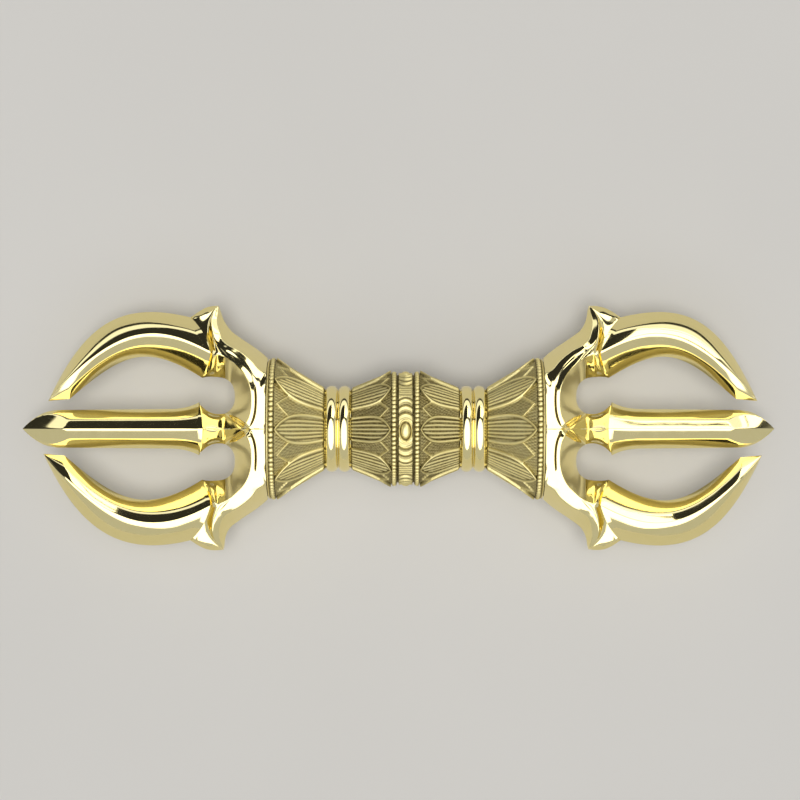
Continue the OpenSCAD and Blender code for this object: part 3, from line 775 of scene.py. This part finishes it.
# Floor
floorLook = {
    "half": 3000, "level": -17.09, "light": "#d2cfc7", "dark": "#cbc8c0", "cloud": 125, "roughness": 0.9, "glow": 0.11,
}
floorBm = bmesh.new()
bmesh.ops.create_grid(floorBm, x_segments=1, y_segments=1, size=floorLook["half"] * mm)
floorMesh = bpy.data.meshes.new("floor")
floorBm.to_mesh(floorMesh)
floorBm.free()
floor = bpy.data.objects.new("floor", floorMesh)
floor.location.z = floorLook["level"] * mm
scene.collection.objects.link(floor)
paleCard, floorTree, floorShader = newMaterial("pale_card")
floorPlace = addNode(floorTree, "ShaderNodeTexCoord").outputs["Object"]
floorCloud = addNode(floorTree, "ShaderNodeTexNoise", {
    "Vector": floorPlace, "Scale": 1 / (floorLook["cloud"] * mm), "Detail": 3.0})
floorTint = addNode(floorTree, "ShaderNodeMix", {
    "Factor": floorCloud.outputs[0], 6: linear(floorLook["dark"]), 7: linear(floorLook["light"])}, data_type="RGBA")
floorTree.links.new(floorTint.outputs[2], floorShader.inputs["Base Color"])
floorTree.links.new(floorTint.outputs[2], floorShader.inputs["Emission Color"])
floorShader.inputs["Roughness"].default_value = floorLook["roughness"]
floorShader.inputs["Specular IOR Level"].default_value = 0.0
# a faint glow to the camera and in reflections, which lights nothing and evens out the shadow
lighting = addNode(floorTree, "ShaderNodeLightPath").outputs["Is Diffuse Ray"]
glow = addNode(floorTree, "ShaderNodeMapRange", {"Value": lighting, 3: floorLook["glow"], 4: 0.0})
floorTree.links.new(glow.outputs[0], floorShader.inputs["Emission Strength"])
floorMesh.materials.append(paleCard)

# Light: a bright soft ceiling, dim walls, and on the +Y side a dark wall with a row of windows low down
studio = {
    "ceilingTilt": 15, "ceilingHalf": 42, "ceilingSoft": 2, "ceiling": 2.4, "walls": 0.55,
    "backAt": 105, "backEdge": (0.15, 0.35),
    "backWall": [(0, 0.04), (6, 0.04), (8, 1.2), (22, 1.2), (24, 0.03), (90, 0.03)],  # elevation, level
    "card": {"x": (52, 600), "y": 400, "z": ((178, 232), (246, 640)), "level": 2.4},
    "diffuse": 0.3, "backdrop": 0.62, "colour": (0.98, 1, 1.1, 1),  # daylight, a little cool
    "lamp": 1.6, "lampAngle": 24, "lampTilt": 3,
}
world = bpy.data.worlds.new("studio")
scene.world = world
world.use_nodes = True
sky = world.node_tree
direction = addNode(sky, "ShaderNodeTexCoord").outputs["Generated"]
parts = addNode(sky, "ShaderNodeSeparateXYZ", {0: direction})
azimuth = addNode(sky, "ShaderNodeMath", {0: parts.outputs[1], 1: parts.outputs[0]}, operation="ARCTAN2")
offBack = addNode(sky, "ShaderNodeMath", {
    0: azimuth.outputs[0], 1: math.radians(studio["backAt"])}, operation="SUBTRACT")
backness = addNode(sky, "ShaderNodeMath", {0: offBack.outputs[0]}, operation="COSINE")
back = addNode(sky, "ShaderNodeMapRange", {
    "Value": backness.outputs[0], 1: studio["backEdge"][0], 2: studio["backEdge"][1]}, interpolation_type="SMOOTHSTEP")
elevation = addNode(sky, "ShaderNodeMath", {0: parts.outputs[2]}, operation="ARCSINE")
height = addNode(sky, "ShaderNodeMath", {0: elevation.outputs[0], 1: math.pi / 2}, operation="DIVIDE")
backWall = addNode(sky, "ShaderNodeValToRGB", {0: height.outputs[0]})
while len(backWall.color_ramp.elements) < len(studio["backWall"]):
    backWall.color_ramp.elements.new(0.5)
for stop, (degrees, shine) in zip(backWall.color_ramp.elements, studio["backWall"]):
    stop.position = degrees / 90
    stop.color = shine, shine, shine, 1
walls = addNode(sky, "ShaderNodeMix", {
    "Factor": back.outputs[0], 2: studio["walls"], 3: backWall.outputs[0]}, data_type="FLOAT")
tilt = math.radians(studio["ceilingTilt"])
overhead = addNode(sky, "ShaderNodeVectorMath", {
    0: direction, 1: (0, -math.sin(tilt), math.cos(tilt))}, operation="DOT_PRODUCT")
edges = [math.cos(math.radians(studio["ceilingHalf"] + studio["ceilingSoft"] * way)) for way in (1, -1)]
ceiling = addNode(sky, "ShaderNodeMapRange", {
    "Value": overhead.outputs["Value"], 1: edges[0], 2: edges[1]}, interpolation_type="SMOOTHSTEP")
level = addNode(sky, "ShaderNodeMix", {
    "Factor": ceiling.outputs[0], 2: walls.outputs[0], 3: studio["ceiling"]}, data_type="FLOAT")
ray = addNode(sky, "ShaderNodeLightPath")
softer = addNode(sky, "ShaderNodeMath", {0: level.outputs[0], 1: studio["diffuse"]}, operation="MULTIPLY")
shone = addNode(sky, "ShaderNodeMix", {
    "Factor": ray.outputs["Is Glossy Ray"], 2: softer.outputs[0], 3: level.outputs[0]}, data_type="FLOAT")
seen = addNode(sky, "ShaderNodeMix", {
    "Factor": ray.outputs["Is Camera Ray"], 2: shone.outputs[0], 3: studio["backdrop"]}, data_type="FLOAT")
sky.links.new(seen.outputs[0], sky.nodes["Background"].inputs["Strength"])
sky.nodes["Background"].inputs["Color"].default_value = studio["colour"]

# a wide soft lamp straight above, for the floor and its shadow
lamp = bpy.data.lights.new("overhead", "SUN")
lamp.energy = studio["lamp"]
lamp.angle = math.radians(studio["lampAngle"])
overheadLamp = bpy.data.objects.new("overhead", lamp)
overheadLamp.rotation_euler.x = math.radians(studio["lampTilt"])
overheadLamp.visible_glossy = False
scene.collection.objects.link(overheadLamp)

# a white card near the right-hand end, seen only in reflections
cardBm = bmesh.new()
left, right = studio["card"]["x"]
y = studio["card"]["y"]
for low, high in studio["card"]["z"]:
    corners = (left, y, low), (right, y, low), (right, y, high), (left, y, high)
    cardBm.faces.new([cardBm.verts.new([part * mm for part in corner]) for corner in corners])
cardMesh = bpy.data.meshes.new("white_card")
cardBm.to_mesh(cardMesh)
cardBm.free()
whiteCard = bpy.data.objects.new("white_card", cardMesh)
scene.collection.objects.link(whiteCard)
litCard, _, litShader = newMaterial("lit_card")
litShader.inputs["Emission Color"].default_value = (1, 1, 1, 1)
litShader.inputs["Emission Strength"].default_value = studio["card"]["level"]
litShader.inputs["Base Color"].default_value = (0, 0, 0, 1)
cardMesh.materials.append(litCard)
whiteCard.visible_camera = whiteCard.visible_diffuse = whiteCard.visible_shadow = False
print("stage made")

# Camera straight above
view = {"lens": 121.3, "at": (-1.33, 6.94, 650)}
lens = bpy.data.cameras.new("camera")
lens.lens = view["lens"]
lens.clip_start = 0.01
camera = bpy.data.objects.new("camera", lens)
camera.location = [part * mm for part in view["at"]]
scene.collection.objects.link(camera)
scene.camera = camera
scene.view_settings.view_transform = "Standard"
